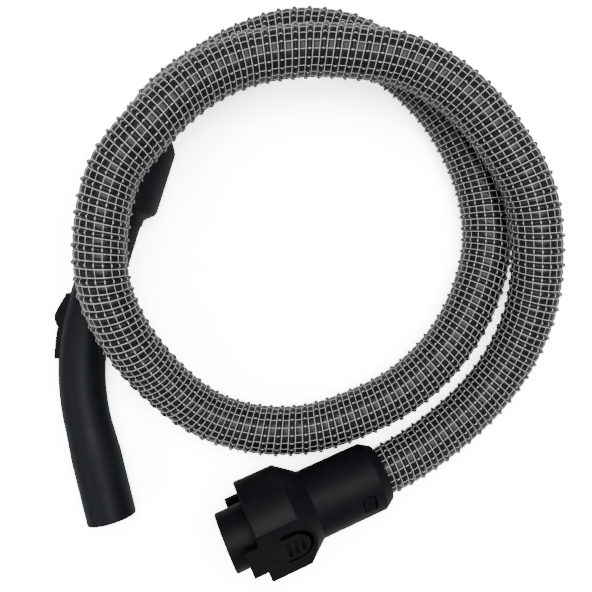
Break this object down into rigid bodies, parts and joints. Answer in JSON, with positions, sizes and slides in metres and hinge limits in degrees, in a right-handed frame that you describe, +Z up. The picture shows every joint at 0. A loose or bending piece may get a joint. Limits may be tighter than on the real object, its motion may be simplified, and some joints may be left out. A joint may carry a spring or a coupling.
{
  "type": "canister vacuum cleaner hose",
  "caption": "Ribbed flexible hose lying in two loops, with a latching swivel connector at one end and a bent handle with a suction slider at the other.",
  "frame": {"origin": "centre of the base of the box around the connector and the handle, on the surface the hose lies on", "axes": "+Z up from the surface, +Y from the connector's side towards the handle's swivel cuff, +X from the handle towards the outer loops"},
  "size_m": [0.398, 0.4478, 0.1036],
  "materials": {
    "hose_plastic": "flexible black ribbed wall with silver threads",
    "body_plastic": "moulded satin black",
    "latch_plastic": "moulded satin black",
    "slider_plastic": "moulded satin black",
    "collar_plastic": "turned-smooth black",
    "washer_acetal": "natural white acetal",
    "seal_rubber": "matte black",
    "spring_steel": "drawn"
  },
  "bodies": {
    "hose": {"hose_tube": "hose_plastic", "machine_hose_collar": "collar_plastic", "machine_slip_washer": "washer_acetal", "handle_hose_collar": "collar_plastic", "handle_slip_washer": "washer_acetal"},
    "connector": {"connector_housing": "body_plastic", "connector_spigot": "body_plastic", "machine_end_ring": "body_plastic", "machine_swivel_seal": "seal_rubber", "upper_latch_pin": "spring_steel", "lower_latch_pin": "spring_steel"},
    "upper_latch": {"upper_latch": "latch_plastic", "upper_latch_spring": "spring_steel"},
    "lower_latch": {"lower_latch": "latch_plastic", "lower_latch_spring": "spring_steel"},
    "handle": {"handle_tube": "body_plastic", "handle_bend": "body_plastic", "handle_wand_leg": "body_plastic", "handle_cuff": "body_plastic", "handle_end_ring": "body_plastic", "handle_swivel_seal": "seal_rubber", "slider_guide": "body_plastic", "vent_grille": "body_plastic", "slider_detent_spring": "spring_steel", "wand_stop_bush": "body_plastic"},
    "suction_slider": {"suction_slider": "slider_plastic"}
  },
  "joints": [
    {"name": "connector_swivel", "type": "hinge", "parent": "hose", "child": "connector", "pos_m": [0.10338, -0.10834, 0.03034], "axis": [0.9125, 0.3687, -0.1771], "continuous": true},
    {"name": "handle_swivel", "type": "hinge", "parent": "hose", "child": "handle", "pos_m": [-0.06681, 0.14443, 0.02893], "axis": [-0.3119, -0.9486, -0.0541], "continuous": true},
    {"name": "upper_latch_pivot", "type": "hinge", "parent": "connector", "child": "upper_latch", "pos_m": [0.04771, -0.1445, 0.06629], "axis": [-0.2537, 0.8498, 0.4621], "range_deg": [0, 8], "stiffness_Nm_per_rad": 0.6, "springref_deg": -8.59},
    {"name": "lower_latch_pivot", "type": "hinge", "parent": "connector", "child": "lower_latch", "pos_m": [0.03039, -0.12416, 0.01936], "axis": [0.2537, -0.8498, -0.4621], "range_deg": [0, 8], "stiffness_Nm_per_rad": 0.6, "springref_deg": -8.59},
    {"name": "suction_slide", "type": "hinge", "parent": "handle", "child": "suction_slider", "pos_m": [0.0636, -0.01933, 0.04113], "axis": [-0.1161, -0.0184, 0.9931], "range_deg": [0, 3.4]}
  ]
}
